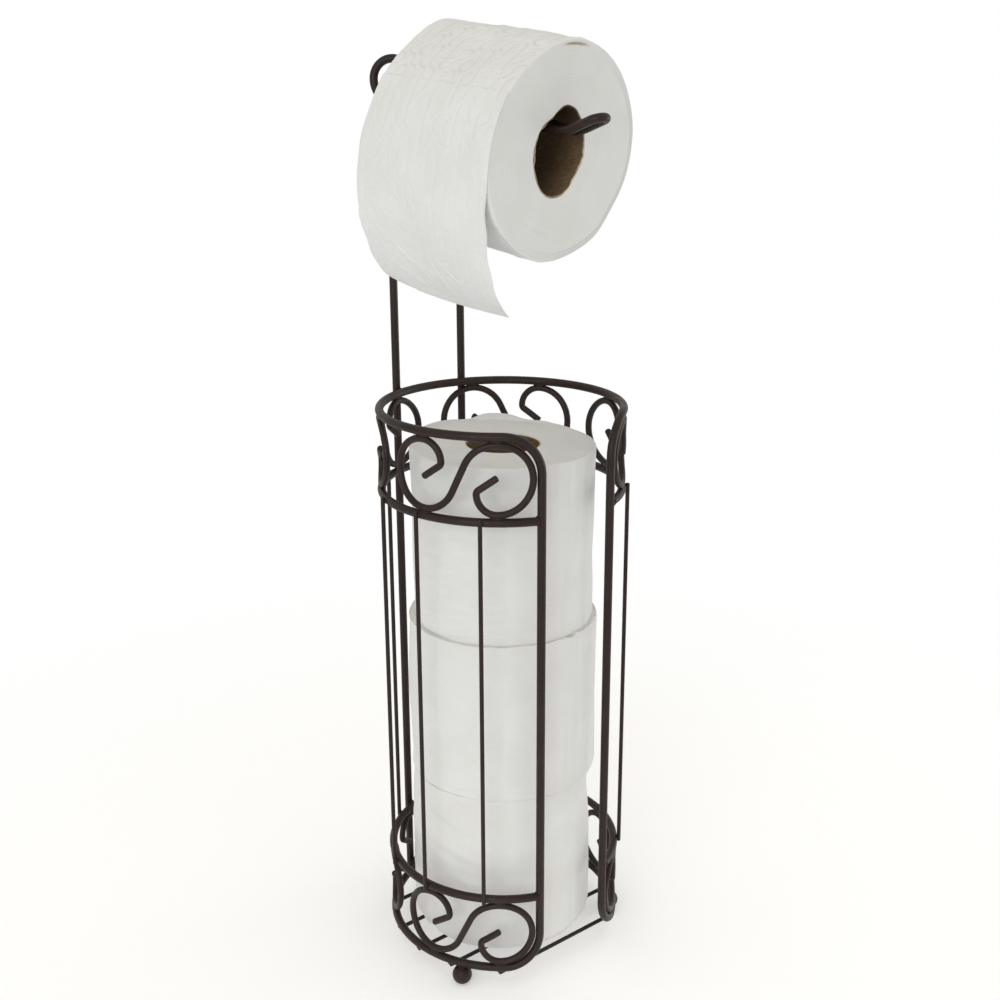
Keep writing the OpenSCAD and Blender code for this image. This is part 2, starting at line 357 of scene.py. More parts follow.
def tissue_material():
    """Soft white tissue: fibres, faint cloudiness, a slight sheen, and painted shade along the embossed
    lines.
    """
    material, tree, shader = new_material("tissue")
    cloudy = ramp(tree, noise(tree, 42, 4), (0.82, 0.818, 0.805), (0.865, 0.868, 0.862))
    fibres = ramp(tree, noise(tree, 1500, 5), (0.95, 0.95, 0.95), (1.0, 1.0, 1.0))
    # Painted shade: the embossed lines are darkened in colour, as the piece's field says.
    colour = tinted(tree, multiply(tree, cloudy, fibres), "pressed", (0.945, 0.935, 0.905))
    roughness = spread(tree, noise(tree, 300), 0.88, 0.97)
    crepe = bump(tree, noise(tree, 420, 3), 0.12 * MM, 0.45)
    fuzz = bump(tree, noise(tree, 1900, 4), 0.06 * MM, 0.6, crepe)
    fill_shader(tree, shader, colour, roughness, 0.2, fuzz)
    shader.inputs["Sheen Weight"].default_value = 0.08
    return material


def end_material():
    """The plies' edges, as fine rings: greyer, with painted shade where the outer plies are set back, and a
    brown painted shadow in a pocket between plies.
    """
    material, tree, shader = new_material("tissue_edges")
    rings = tree.nodes.new("ShaderNodeTexNoise")
    rings.noise_dimensions = "1D"
    set_inputs(rings, {"Scale": PLY_RINGS_SCALE, "Detail": 3})
    link(tree, field(tree, "ply"), rings.inputs["W"])
    tone = ramp(tree, rings.outputs["Fac"], (0.75, 0.747, 0.73), (0.775, 0.773, 0.759))
    cloudy = ramp(tree, noise(tree, 60, 4), (0.96, 0.958, 0.95), (1.0, 1.0, 1.0))
    # Painted shade on the outer plies that are set back from the face.
    colour = tinted(tree, multiply(tree, tone, cloudy), "recess_shade", (0.9, 0.905, 0.915))
    # Painted shadow, brown, in the pocket under the raised ply at the top of the face.
    colour = tinted(tree, colour, "gap", (0.7, 0.58, 0.4))
    roughness = spread(tree, noise(tree, 400), 0.9, 0.98)
    plies = bump(tree, rings.outputs["Fac"], 0.06 * MM, 0.2)
    fuzz = bump(tree, noise(tree, 1300, 4), 0.07 * MM, 0.6, plies)
    fill_shader(tree, shader, colour, roughness, 0.15, fuzz)
    return material


def rim_material():
    """The outer edge of a spare roll, where the glued and wrapped plies look beige."""
    material, tree, shader = new_material("tissue_rim")
    patchy = ramp(tree, noise(tree, 130, 4), (0.55, 0.48, 0.37), (0.78, 0.76, 0.71), 0.35, 0.62)
    roughness = spread(tree, noise(tree, 300), 0.85, 0.95)
    fill_shader(tree, shader, patchy, roughness, 0.2, bump(tree, noise(tree, 900, 4), 0.1 * MM, 0.6))
    return material


def card_material(name, low, high):
    """Kraft board: brown fibres that run round the tube, darker with painted shade where the piece's field
    says.
    """
    material, tree, shader = new_material(name)
    fibres = ramp(tree, noise(tree, 260, 6, (1, 1, 3)), low, high, 0.25, 0.75)
    flecks = ramp(tree, noise(tree, 1700, 3), (0.8, 0.8, 0.8), (1.12, 1.1, 1.08))
    # Painted shade: the board is darkened where the field marks it.
    colour = tinted(tree, multiply(tree, fibres, flecks), "painted_shade", (0.36, 0.34, 0.32))
    roughness = spread(tree, noise(tree, 500), 0.72, 0.88)
    fill_shader(tree, shader, colour, roughness, 0.3, bump(tree, noise(tree, 900, 5), 0.08 * MM, 0.6))
    return material


bronze = bronze_material()
tissue = tissue_material()
tissue_edges = end_material()
tissue_rim = rim_material()
card = card_material("core_board", (0.13, 0.083, 0.043), (0.22, 0.145, 0.08))
card_edge = card_material("core_board_edge", (0.30, 0.21, 0.12), (0.44, 0.33, 0.2))


# ---- Wires ----

# A cut end: distance back from the end and width there, as shares of the wire's radius
CUT_END = ((0.5, 1.0), (0.16, 0.94), (0.0, 0.78))
# The line's own points keep this distance from a cut end, in the same shares
CUT_CLEARANCE = 0.7


def softened_ends(line, radius):
    """The line with a short rounding at both cut ends, and the radius at each point."""
    first, last = line[0], line[-1]
    inner = line[1:-1]
    nearest = np.minimum(np.linalg.norm(inner - first, axis=1), np.linalg.norm(inner - last, axis=1))
    kept = list(inner[nearest > CUT_CLEARANCE * radius])
    way_in = unit(kept[0] - first)
    way_back = unit(kept[-1] - last)
    narrowing = [share for _, share in CUT_END]
    head = [first + way_in * radius * back for back, _ in reversed(CUT_END)]
    tail = [last + way_back * radius * back for back, _ in CUT_END]
    shares = narrowing[::-1] + [1.0] * len(kept) + narrowing
    return np.array(head + kept + tail), radius * np.array(shares)


def carried_sides(along):
    """A side direction at each point of a wire, carried along it without twisting."""
    first = np.array([0.0, 0.0, 1.0]) if abs(along[0][2]) < 0.9 else np.array([1.0, 0.0, 0.0])
    sides = []
    for way in along:
        previous = sides[-1] if sides else first
        sides.append(unit(previous - way * (previous @ way)))
    return np.array(sides)


def wire(name, line, radius, replaced, closed=False):
    """Smooth round wire of the stand along the line, in place of the CAD node called replaced."""
    line = np.array([tuple(p) for p in line], float)
    radii = np.full(len(line), radius)
    if not closed:
        line, radii = softened_ends(line, radius)
    before, after = np.roll(line, 1, 0), np.roll(line, -1, 0)
    if not closed:
        before[0], after[-1] = line[0], line[-1]
    along = unit(after - before)
    if closed:
        outwards = unit(line * [1, 1, 0])
        side = unit(outwards - along * np.sum(outwards * along, 1, keepdims=True))
    else:
        side = carried_sides(along)
    up = np.cross(along, side)
    turn = np.linspace(0, 2 * math.pi, WIRE_SIDES, endpoint=False)
    ring = np.cos(turn)[None, :, None] * side[:, None] + np.sin(turn)[None, :, None] * up[:, None]
    points = (line[:, None] + radii[:, None, None] * ring).reshape(-1, 3)
    faces = grid_faces(len(line), WIRE_SIDES, close_rows=closed, close_columns=True)
    if not closed:
        points = cap_ends(points, faces, WIRE_SIDES, line[0], line[-1])
    add_piece(name, points, faces, [bronze], "stand", "dark_bronze_wire", [replaced])


def on_wall(s, z):
    """A point on the basket's wall, from the distance along it and the height."""
    return Vector((BASKET_R * math.sin(s / BASKET_R), -BASKET_R * math.cos(s / BASKET_R), z))


def arc(middle, radius, start, end, steps):
    """Points of a flat arc, with both ends. The angles are in degrees."""
    angles = [math.radians(a) for a in np.linspace(start, end, steps + 1)]
    return [(middle[0] + radius * math.cos(a), middle[1] + radius * math.sin(a)) for a in angles]


def frame_quarter(z, inwards):
    """From the back of a ring round to the front post."""
    bend_x = BASKET_R * POST_ANGLE + CORNER_R
    ring = [(s, z) for s in np.linspace(BASKET_R * math.pi, bend_x, RIM_STEPS, endpoint=False)]
    return ring + arc((bend_x, z + inwards * CORNER_R), CORNER_R, -90 * inwards, -180 * inwards, CORNER_STEPS)


def frame_loop():
    right = frame_quarter(RIM_Z, -1) + frame_quarter(BOTTOM_Z, 1)[::-1]
    left = [(-s, z) for s, z in right[-2:0:-1]]
    return [on_wall(s, z) for s, z in right + left]


def half_scroll():
    """Right half of a scroll, laid flat, from its middle to its tip."""
    curl = arc((CURL_X, 0), CURL_R, 90 + math.degrees(SLANT), -90, CURL_STEPS)
    hook_middle = (CURL_X, HOOK_R - CURL_R)
    hook = arc(hook_middle, HOOK_R, -90, -180, HOOK_STEPS)
    bend_middle = (hook_middle[0] + HOOK_BEND_R - HOOK_R, hook_middle[1])
    tip_bend = arc(bend_middle, HOOK_BEND_R, -180, -180 - math.degrees(HOOK_BEND_ANGLE), BEND_STEPS)
    end = tip_bend[-1]
    way = (TIP_L * math.sin(HOOK_BEND_ANGLE), TIP_L * math.cos(HOOK_BEND_ANGLE))
    tip = [(end[0] + share * way[0], end[1] + share * way[1]) for share in (0.25, 0.5, 0.75, 1.0)]
    return curl + hook[1:] + tip_bend[1:] + tip


def scroll_line(angle, z):
    half = half_scroll()
    flat = [(-s, -h) for s, h in reversed(half)] + [(0, 0)] + half
    return [Matrix.Rotation(angle, 3, "Z") @ on_wall(s, h + z) for s, h in flat]


def bend(before, corner, after, radius):
    """One corner of a bent wire, rounded to its bend radius."""
    back, on = (before - corner).normalized(), (after - corner).normalized()
    half = back.angle(on) / 2
    turn = math.pi - 2 * half
    steps = max(1, math.ceil(turn / ARM_STEP_ANGLE))
    start = corner + back * radius / math.tan(half)
    centre = corner + (back + on).normalized() * radius / math.sin(half)
    out = (start - centre).normalized()
    angles = [turn * i / steps for i in range(steps + 1)]
    return [centre + radius * (math.cos(a) * out - math.sin(a) * back) for a in angles]


def crook_point(ahead, z):
    """A point in the plane of the left crook, from the distance ahead of the leg and the height."""
    return Vector((-LEG_HALF_GAP + ahead * math.sin(CROOK_TURN), LEG_Y - ahead * math.cos(CROOK_TURN), z))


def arm_line():
    """The whole arm: up the left leg, round the left crook, out to the tip and back."""
    jog_angle = math.acos(1 - CROOK_BULGE / (2 * JOG_R))
    jog_tangent = JOG_R * math.tan(jog_angle / 2)
    crook_z = CROOK_TOP_Z - CROOK_R
    crook_front = 2 * CROOK_R - CROOK_BULGE
    crook_bend = CROOK_R - CROOK_SLACK
    tip_z = DIP_Z + TIP_RISE * (ARM_REACH + DIP_Y)
    left = [
        (crook_point(0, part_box("arm_wire")[0].z), 0),
        (crook_point(0, crook_z - 2 * JOG_R * math.sin(jog_angle) + jog_tangent), JOG_R),
        (crook_point(-CROOK_BULGE, crook_z - jog_tangent), JOG_R),
        (crook_point(-CROOK_BULGE, CROOK_TOP_Z), crook_bend),
        (crook_point(crook_front, CROOK_TOP_Z), crook_bend),
        (crook_point(crook_front, ARM_ENTRY.z), DROP_BEND_R),
        (mirrored(ARM_ENTRY), ARM_LINE_R),
        (mirrored(ARM_MIDDLE), ARM_LINE_R),
        (Vector((-TIP_HALF_GAP, DIP_Y, DIP_Z)), DIP_R),
        (Vector((-TIP_HALF_GAP, -ARM_REACH, tip_z)), TIP_HALF_GAP - TIP_SLACK),
    ]
    corners = left + [(mirrored(p), r) for p, r in reversed(left)]
    line = [corners[0][0]]
    for (before, _), (corner, radius), (after, _) in zip(corners, corners[1:], corners[2:]):
        line += bend(before, corner, after, radius)
    return line + [corners[-1][0]]


def mirrored(p):
    return Vector((-p.x, p.y, p.z))


def box_line(node, axis):
    """The middle line of a straight round bar, from its node's box."""
    ends = [node_middle(node), node_middle(node)]
    for end, corner in zip(ends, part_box(node)):
        end[axis] = corner[axis]
    return [ends[0].lerp(ends[1], t) for t in BAR_STEPS]


def ring_line(z):
    angles = np.linspace(RING_END_ANGLE, 2 * math.pi - RING_END_ANGLE, 2 * RIM_STEPS)
    return [on_wall(a * BASKET_R, z) for a in angles]


def ball_foot(node):
    """A ball with a small worn flat on the floor."""
    radius = node_size(node).x / 2
    middle_x, middle_y, _ = node_middle(node)
    middle_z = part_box(node)[1].z - radius
    fall = np.linspace(0, math.pi, BALL_ROWS)[1:-1, None]
    turn = np.linspace(0, 2 * math.pi, BALL_COLUMNS, endpoint=False)[None, :]
    x = middle_x + radius * np.sin(fall) * np.cos(turn)
    y = middle_y + radius * np.sin(fall) * np.sin(turn)
    z = np.maximum(middle_z + radius * np.cos(fall) + 0 * turn, 0)
    faces = grid_faces(len(fall), BALL_COLUMNS, close_columns=True, flip=True)
    top, foot = [middle_x, middle_y, middle_z + radius], [middle_x, middle_y, 0]
    points = cap_ends(np.stack([x, y, z], -1).reshape(-1, 3), faces, BALL_COLUMNS, top, foot, flip=True)
    add_piece(node + "_ball", points, faces, [bronze], "stand", "dark_bronze_wire", [node])


def bead_points():
    """The welds: the middle of each, its long direction, the direction across the joint, and its sizes."""
    up = Vector((0, 0, 1))
    beads = []
    for _, _, middle_z in BANDS:
        for angle in SCROLL_ANGLES:
            for s in (-CURL_X, CURL_X):
                a = angle + s / BASKET_R
                along = Vector((math.cos(a), math.sin(a), 0))
                for rise in (-CURL_R - SCROLL_WIRE_R, CURL_R + SCROLL_WIRE_R):
                    beads.append((on_wall(a * BASKET_R, middle_z + rise), along, up, SCROLL_BEAD))
    outer_r = BASKET_R + FRAME_WIRE_R - WELD_BITE / 2
    for i in range(1, RODS + 1):
        rod = node_middle(f"upright_rod_{i}")
        out = Vector((rod.x, rod.y, 0)).normalized()
        for z in (UPPER_RING_Z, LOWER_RING_Z):
            beads.append((out * outer_r + up * z, up, out, ROD_BEAD))
    for x in (-LEG_HALF_GAP, LEG_HALF_GAP):
        out = Vector((x, LEG_Y, 0)).normalized()
        for z in (RIM_Z, UPPER_RING_Z, LOWER_RING_Z, BOTTOM_Z + LOWEST_LEG_BEAD_RISE):
            beads.append((out * outer_r + up * z, up, out, LEG_BEAD))
    under_z = BOTTOM_Z - FRAME_WIRE_R + WELD_BITE / 2
    for i in range(1, BASE_WIRES + 1):
        y = node_middle(f"base_wire_{i}").y
        x = math.sqrt(BASKET_R**2 - y**2)
        for side in (-1, 1):
            beads.append((Vector((side * x, y, under_z)), Vector((1, 0, 0)), up, BASE_BEAD))
    for foot in FEET:
        x, y, _ = node_middle(f"ball_foot_{foot}")
        beads.append((Vector((x, y, under_z)), Vector((-y, x, 0)).normalized(), up, FOOT_BEAD))
    for z in (UPPER_RING_Z, LOWER_RING_Z):
        for side in (-1, 1):
            a = side * (POST_ANGLE + FRAME_WIRE_R / BASKET_R)
            beads.append((on_wall(a * BASKET_R, z), up, Vector((math.cos(a), math.sin(a), 0)), RING_BEAD))
    return beads


def weld_beads():
    """The weld beads: uneven ellipsoids that fill the notches between the wires."""
    fall = np.linspace(0.02, math.pi - 0.02, BEAD_ROWS)[:, None]
    turn = np.linspace(0, 2 * math.pi, BEAD_COLUMNS, endpoint=False)[None, :]
    ball = np.stack([np.sin(fall) * np.cos(turn), np.sin(fall) * np.sin(turn), np.cos(fall) + 0 * turn], -1)
    points, faces = [], []
    for i, (place, along, out, (length, width, height)) in enumerate(bead_points()):
        basis = np.array([along * length, out.cross(along) * width, out * height])
        uneven = waves(ball @ basis + np.array(place), 2.4 * MM, 5, 7)
        points.append(np.array(place) + ball @ basis * (1 + BEAD_UNEVENNESS * uneven[..., None]))
        start = i * BEAD_ROWS * BEAD_COLUMNS
        faces += grid_faces(BEAD_ROWS, BEAD_COLUMNS, start, close_columns=True, flip=True)
        faces.append([start + k for k in range(BEAD_COLUMNS)])
        faces.append([start + (BEAD_ROWS - 1) * BEAD_COLUMNS + k for k in reversed(range(BEAD_COLUMNS))])
    add_piece("weld_beads", points, faces, [bronze], "stand", "dark_bronze_wire", sharp=80)


def build_stand():
    wire("frame_wire", frame_loop(), FRAME_WIRE_R, "basket_frame_wire", closed=True)
    wire("arm_loop", arm_line(), ARM_WIRE_R, "arm_wire")
    for band, ring_z, middle_z in BANDS:
        wire(f"{band}_ring", ring_line(ring_z), FRAME_WIRE_R, f"{band}_band_ring")
        for i, angle in enumerate(SCROLL_ANGLES, 1):
            wire(f"{band}_curl_{i}", scroll_line(angle, middle_z), SCROLL_WIRE_R, f"{band}_scroll_{i}")
    for i in range(1, RODS + 1):
        node = f"upright_rod_{i}"
        wire(f"rod_{i}", box_line(node, 2), node_size(node).x / 2, node)
    for i in range(1, BASE_WIRES + 1):
        node = f"base_wire_{i}"
        wire(f"base_rod_{i}", box_line(node, 0), node_size(node).z / 2, node)
    for foot in FEET:
        ball_foot(f"ball_foot_{foot}")
    weld_beads()


# ---- Rolls ----


def profile(rim_to_hole, edge_low, edge_high, side_steps, low_steps, hole_steps):
    """Rows of a roll's skin, from the hole's low edge round the outside and back down the hole.

    Each row is (share of the way from hole to rim, inset from the rim, height, end, on the high rim). The end
    is -1 on the low end face, 1 on the high one and 0 on the side. Heights and edges are shares of the width.
    """
    rows = [(q, 1, 0, -1, 0) for q in np.linspace(0, 1, low_steps, endpoint=False)]
    for turn in np.linspace(0, 1, ROLL_EDGE_STEPS):
        a = turn * math.pi / 2
        rows.append((1, 1 - math.sin(a), edge_low * (1 - math.cos(a)), -1 if turn < 0.5 else 0, 0))
    rows += [(1, 0, h, 0, 0) for h in np.linspace(edge_low, 1 - edge_high, side_steps)[1:-1]]
    for turn in np.linspace(1, 0, ROLL_EDGE_STEPS):
        a = turn * math.pi / 2
        rows.append((1, 1 - math.sin(a), 1 - edge_high * (1 - math.cos(a)), turn < 0.5, turn < 0.7))
    rows += [(q, 1, 1, 1, 0) for q in rim_to_hole]
    rows += [(0, 1, h, 0, 0) for h in np.linspace(1, 0, hole_steps)[1:-1]]
    return np.array(rows, float)


def roll_piece(name, points, radii, rows, body, node, rim=None, recess_shade=0, gap=0, pressed=0):
    """The closed skin of a wound roll, with the plies' edges at its ends. rim is its top rim's material, and
    the three masks after it paint shade on the face and along the embossed lines.
    """
    count, columns = radii.shape
    fields = {"ply": radii}
    for field_name, values in (("recess_shade", recess_shade), ("gap", gap), ("pressed", pressed)):
        fields[field_name] = values + 0 * radii
    faces = grid_faces(count, columns, close_rows=True, close_columns=True)
    materials = [tissue, tissue_edges] + ([rim] if rim else [])
    obj = add_piece(name, points, faces, materials, body, "tissue_paper", [node], ROLL_SHARP, fields)
    indices = []
    for row, next_row in zip(rows, np.roll(rows, -1, 0)):
        on_end, on_rim = (row * next_row)[3:]
        indices += [2 if rim and on_rim else 1 if on_end else 0] * columns
    obj.data.polygons.foreach_set("material_index", indices)


def core_piece(name, outer, inner, body, node, painted_shade=0):
    """A cardboard tube, from the grids of its outer and inner skins."""
    points = np.concatenate([outer, inner[::-1]])
    rows, columns, _ = points.shape
    faces = grid_faces(rows, columns, close_rows=True, close_columns=True)
    # The field is a mask of painted shade on the board, none unless given.
    fields = {"painted_shade": painted_shade + 0 * points[..., 0]}
    obj = add_piece(name, points, faces, [card, card_edge], body, "core_board", [node], ROLL_SHARP, fields)
    for polygon in obj.data.polygons:
        if polygon.index // columns in (len(outer) - 1, rows - 1):
            polygon.material_index = 1


def spiral_seam(degrees, share, height, step):
    """The seam of a tube's strip of board, three times round: a slow rise that ends in a step."""
    at = (degrees + 1080 * share) % 360
    return height * smooth_step(at / 25) * smooth_step((360 - at) / step)


# ---- The roll on the arm ----

turn_joint = next(j for j in frame["joints"] if j["name"] == "arm_roll_turn")
ROLL_MIDDLE = np.array(turn_joint["pos_m"])
ROLL_FRONT = unit(np.array(turn_joint["axis"], float))
ROLL_RIGHT = unit(np.array([-ROLL_FRONT[1], ROLL_FRONT[0], 0]))
ROLL_UP = np.cross(ROLL_FRONT, ROLL_RIGHT)

ARM_ROLL_COLUMNS = 640
SHEET_LAP = math.radians(34)
SHEET_ACROSS = 200
SHEET_HANG_STEPS = 190
SHEET_LAP_STEPS = 64
CELL_S = 9.6 * MM
CELL_W = 8.0 * MM
EMBOSS_DEPTH = 0.45 * MM
EMBOSS_LINE_W = 0.85 * MM
EMBOSS_SWELL = 0.16 * MM
EMBOSS_SWELL_W = 1.6 * MM
EMBOSS_BEST_S = 165 * MM
EMBOSS_BEST_HALF = 60 * MM
CELL_GRID = (64, 16)
# A cell holds one of four patterns: 0 is two turned lines, and the others are these
MIRRORED_TURNS, STRAIGHT, DOTS = 1, 2, 3
CELL_ODDS = (0.24, 0.24, 0.34, 0.18)
DOT_U, DOT_V = 0.17, 0.19

# Bulges and dents at the two ends of the squashed roll and of its hole. Each one is its height in mm, its
# angle, its half width and how square it is.
REAR_BULGES = ((-8.3, 142, 42, 4),)
FRONT_BULGES = (
    (-2.6, 145, 50, 4),
    (-1.8, 14, 58, 4),
    (-0.9, -40, 11, 2),
    (0.7, 100, 12, 2),
    (0.9, -54, 12, 2),
    (0.9, -98, 14, 2),
)
HOLE_BULGES = (
    (-9.0, -12, 66, 4),
    (1.6, -122, 26, 2),
    (1.0, 96, 11, 2),
    (-1.7, 62, 15, 2),
    (-1.5, 125, 14, 2),
)

# Marks on the front face, measured in from the rim
EDGE_R = 1.3 * MM
CRUSH_W = 4.0 * MM
CRUSH_DEPTH = 1.0 * MM
POCKET_AWAY = 1.6 * MM
POCKET_HALF_W = 0.6 * MM
POCKET_DEPTH = 1.3 * MM
CREASE_R = 43 * MM
CREASE_DEPTH = 0.8 * MM

# The hanging curve, in the end face: how far it follows the roll, and its last two corners
HANG_LEAD = 21 * MM
KNEE_X, KNEE_Y = -55.5 * MM, -66 * MM
END_X, END_Y = -30.0 * MM, -85.6 * MM
TORN_STEP = 0.8 * MM
TEETH = 34


def arm_place(x, y, z):
    """World points from the roll's own coordinates: x to the right, y up, and z towards its front."""
    return (
        ROLL_MIDDLE
        + np.asarray(x)[..., None] * ROLL_RIGHT
        + np.asarray(y)[..., None] * ROLL_UP
        + np.asarray(z)[..., None] * ROLL_FRONT
    )


def bulges(degrees, rows):
    return MM * sum(height * window(degrees, *where) for height, *where in rows)


def outer_radius(degrees, front):
    """Radius of the roll on the arm: squashed at the upper left of its rear end, uneven at its front."""
    return ROLL_R + (1 - front) * bulges(degrees, REAR_BULGES) + front * bulges(degrees, FRONT_BULGES)


def hole_radius(degrees, front):
    """Radius of the hole: pressed in from the right, more and more over the front half."""
    return CORE_R + smooth_step(2 * front - 1) * bulges(degrees, HOLE_BULGES)


def emboss(s, w):
    """Height of the pattern pressed into the tissue, at s along the strip and w across it.

    The strip is divided into cells. Each one has two quarter turns of line, a straight line or a cluster of
    dots, and the lines of neighbouring cells meet in the middle of their common side. The pattern is deepest
    over the top of the roll.
    """
    kinds = np.random.default_rng(8).choice(4, size=CELL_GRID, p=CELL_ODDS)
    i, j = np.floor(s / CELL_S).astype(int), np.floor(w / CELL_W).astype(int)
    kind = kinds[i % CELL_GRID[0], j % CELL_GRID[1]]
    u, v = s / CELL_S - i - 0.5, w / CELL_W - j - 0.5
    v = np.where(kind == MIRRORED_TURNS, -v, v)
    corner = np.minimum(np.hypot(u + 0.5, v + 0.5), np.hypot(u - 0.5, v - 0.5))
    turn = np.abs(corner - 0.5) * (CELL_S + CELL_W) / 2
    stub = np.hypot(u * CELL_S, (np.abs(v) - 0.5) * CELL_W)
    end = np.hypot((np.abs(u) - 0.5) * CELL_S, v * CELL_W)
    dots = np.hypot((np.abs(u) - DOT_U) * CELL_S, (np.abs(v) - DOT_V) * CELL_W)
    straight = np.minimum(np.abs(v) * CELL_W, stub)
    cluster = np.minimum(np.minimum(end, stub), dots)
    away = np.select([kind == STRAIGHT, kind == DOTS], [straight, cluster], turn)
    line = EMBOSS_DEPTH * np.exp(-((away / EMBOSS_LINE_W) ** 2))
    return (0.6 + 0.75 * over_the_top(s)) * (EMBOSS_SWELL * np.tanh(away / EMBOSS_SWELL_W) - line)


def emboss_shade_share(pattern, s):
    """How much painted shade darkens the pattern's lines, over the top of the roll."""
    return np.clip(-pattern / EMBOSS_DEPTH, 0, 1) * over_the_top(s)


def over_the_top(s):
    """1 where the strip passes over the top of the roll, falling to 0 further along it."""
    return np.exp(-(((s - EMBOSS_BEST_S) / EMBOSS_BEST_HALF) ** 4))


def soft_waves(s, w):
    """Gentle unevenness of the soft roll in use."""
    place = np.stack([s, w], -1)
    return 0.35 * MM * waves(place, 46 * MM, 8, 21) + 0.10 * MM * waves(place, 13 * MM, 8, 22)


def layer_relief(radius, degrees, seed):
    """How far the plies' edges stand out of an end face."""
    a = np.radians(degrees)
    layers = np.stack([radius * 6, 9 * MM * np.cos(a), 9 * MM * np.sin(a)], -1)
    broad = np.stack([radius, radius * np.cos(a), radius * np.sin(a)], -1)
    return 0.022 * MM * waves(layers, 14 * MM, 12, seed) + 0.2 * MM * waves(broad, 32 * MM, 7, seed + 1)


def missing_plies(degrees):
    """How many plies thinner the roll is than where the sheet's lap starts: one where the sheet leaves it."""
    lap = math.degrees(SHEET_LAP)
    start = 180 - lap
    return np.where(degrees > start, smooth_step((degrees - start) / lap), (start - degrees) / 360)


def arm_roll_body():
    """The wound paper, without its outermost loose length."""
    wall = ROLL_R - CORE_R
    near_rim = np.array([0.5, 1.0, 1.5, 2.0, 2.6, 3.2, 3.5, 4.0, 4.6]) * MM
    shares = 1 - np.concatenate([near_rim, np.linspace(5.4 * MM, wall, 38)]) / wall
    rows = profile(shares, EDGE_R / ROLL_W, EDGE_R / ROLL_W, side_steps=176, low_steps=8, hole_steps=24)
    q, inset, height, end = rows.T[:4, :, None]
    degrees = ring_degrees(ARM_ROLL_COLUMNS) + 0 * height
    front = height + 0 * degrees
    s = HANG_LENGTH + np.radians(180 - degrees) * ROLL_R
    w = (front - 0.5) * ROLL_W
    on_side = (q == 1) * off_the_ends(front, 0.02)
    pattern = on_side * emboss(s, w)
    rim = outer_radius(degrees, front) - PLY * missing_plies(degrees) + pattern + on_side * soft_waves(s, w)
    rim -= 0.9 * EDGE_R * inset
    hole = hole_radius(degrees, front) + HOLE_SLACK
    radius = hole + (rim - hole) * q
    away = rim - radius
    near_front = smooth_step((front - 0.9) / 0.1)
    # The outermost plies are set back round the right of the front
    loose = window(degrees, -25, 74)
    step = smooth_step((CRUSH_W - away) / (0.8 * MM))
    set_back = loose * (CRUSH_DEPTH * step + 0.15 * (CRUSH_W - away).clip(0))
    # At the top a pocket opens between the plies, and the rim over it is raised
    pocket = window(degrees, 89, 9) * np.exp(-(((away - POCKET_AWAY) / POCKET_HALF_W) ** 4)) * (end == 1)
    lift = 0.8 * MM * window(degrees, 92, 9) * smooth_step((front - 0.94) / 0.05)
    lift *= (away < 1.2 * MM) * (end < 1)
    # A short crease runs along the lower left of the face, a little aslant
    off_crease = radius - CREASE_R - 0.02 * MM * (degrees + 118)
    crease = CREASE_DEPTH * np.exp(-((off_crease / (0.8 * MM)) ** 2)) * window(degrees, -112, 13)
    z = w - near_front * (set_back + POCKET_DEPTH * pocket)
    z += end * (layer_relief(radius, degrees, 31) - crease * (end == 1))
    radius = radius + lift
    a = np.radians(degrees)
    points = arm_place(radius * np.cos(a), radius * np.sin(a), z)
    # Painted shade: the set-back outer plies, the pocket at the top and the embossed lines over the top are
    # darkened in colour.
    marks = {"recess_shade": near_front * loose * step, "gap": pocket, "pressed": emboss_shade_share(pattern, s)}
    roll_piece("arm_roll_wound", points, radius, rows, "arm_roll", "arm_roll_paper", **marks)


def arm_roll_tube():
    """The cardboard core, with its spiral seam, and painted shade on its upper part above the arm."""
    degrees = ring_degrees(160)
    front = np.linspace(0, 1, 72)[:, None]
    a = np.radians(degrees)
    w = (front - 0.5) * ROLL_W * 0.996
    uneven = 0.12 * MM * waves(np.stack([w + 0 * a, a * CORE_R + 0 * w], -1), 16 * MM, 6, 5)
    outer = hole_radius(degrees, front) - TUBE_SLACK
    inner = outer - CORE_WALL + spiral_seam(degrees, front - 0.5, 0.28 * MM, 5) + uneven
    rough = 0.25 * MM * waves(np.stack([a * CORE_R, 0 * a], -1), 6 * MM, 6, 9)
    z = w + rough * smooth_step((front - 0.95) / 0.05)
    skins = [arm_place(r * np.cos(a), r * np.sin(a), z) for r in (outer, inner)]
    # Painted shade over the top of the tube, towards its front, where the inside of the hole lies in shadow.
    painted_shade = window(degrees, 84, 50) * smooth_step((front - 0.2) / 0.3)
    painted_shade = np.concatenate([painted_shade, painted_shade[::-1]])
    core_piece("arm_roll_tube", *skins, "arm_roll", "arm_roll_core", painted_shade)


def creases(s, w):
    """A few soft creases that cross the hanging paper aslant."""
    rng = np.random.default_rng(77)
    height = 0 * s
    for _ in range(7):
        middle = np.array([rng.uniform(5, 75), rng.uniform(-45, 25)]) * MM
        turn, length = math.radians(rng.uniform(30, 60)), rng.uniform(9, 20) * MM
        along = (s - middle[0]) * math.cos(turn) - (w - middle[1]) * math.sin(turn)
        aside = (s - middle[0]) * math.sin(turn) + (w - middle[1]) * math.cos(turn)
        height = height + 0.45 * MM * np.exp(-((along / length) ** 4) - (aside / (0.9 * MM)) ** 2)
    return height


